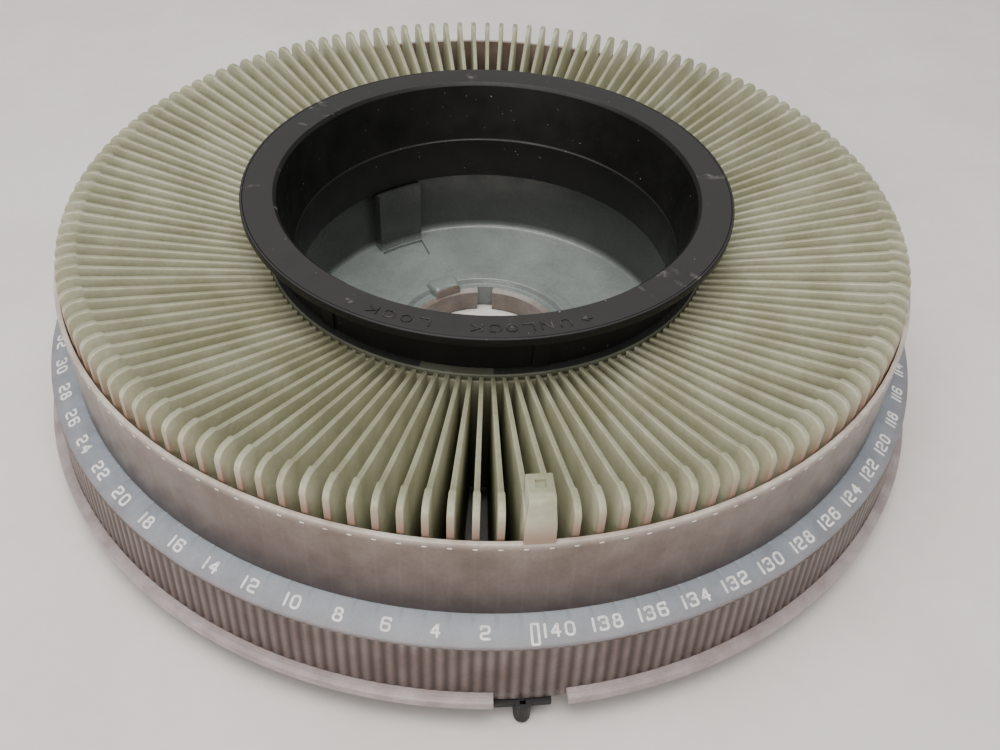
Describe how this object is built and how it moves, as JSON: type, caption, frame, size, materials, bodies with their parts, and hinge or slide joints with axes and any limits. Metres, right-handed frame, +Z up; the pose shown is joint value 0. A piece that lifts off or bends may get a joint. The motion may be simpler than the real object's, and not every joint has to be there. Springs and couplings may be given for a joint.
{
  "type": "rotary slide tray",
  "caption": "Round tray that holds mounted slides on edge in radial slots around a hub, with a bayonet lock ring and a turning gate plate.",
  "frame": {"origin": "on the tray's axis, at the level of the surface that the tray stands on", "axes": "+Z up along the tray's axis; position 0, its raised post and the latch tab face -Y; numbers rise clockwise seen from above"},
  "size_m": [0.2508, 0.2508, 0.064],
  "materials": {
    "smoke_plastic": "moulded, translucent satin",
    "fin_plastic": "moulded, translucent satin",
    "hub_plastic": "moulded, glossy",
    "black_plastic": "moulded, satin and worn",
    "plated_steel": "zinc plated",
    "spring_steel": "drawn wire and strip"
  },
  "bodies": {
    "tray": {"outer_shell": "smoke_plastic", "slot_drum": "fin_plastic", "hub_bowl": "hub_plastic", "plate_retainer": "spring_steel"},
    "ring": {"lock_ring": "black_plastic"},
    "plate": {"base_plate": "plated_steel", "latch_keeper": "plated_steel", "keeper_rivet_left": "plated_steel", "keeper_rivet_right": "plated_steel"},
    "latch": {"latch_slider": "black_plastic", "latch_spring": "spring_steel"}
  },
  "joints": [
    {"name": "ring_turn", "type": "hinge", "parent": "tray", "child": "ring", "pos_m": [0, 0, 0.055], "axis": [0, 0, 1], "range_deg": [0, 22]},
    {"name": "plate_turn", "type": "hinge", "parent": "tray", "child": "plate", "pos_m": [0, 0, 0.0074], "axis": [0, 0, 1], "continuous": true},
    {"name": "latch_press", "type": "slide", "parent": "plate", "child": "latch", "axis": [0.0175, 0.9998, 0], "range_m": [0, 0.003], "stiffness_N_per_m": 250, "springref_m": -0.003, "deforming": ["latch_spring"]}
  ]
}
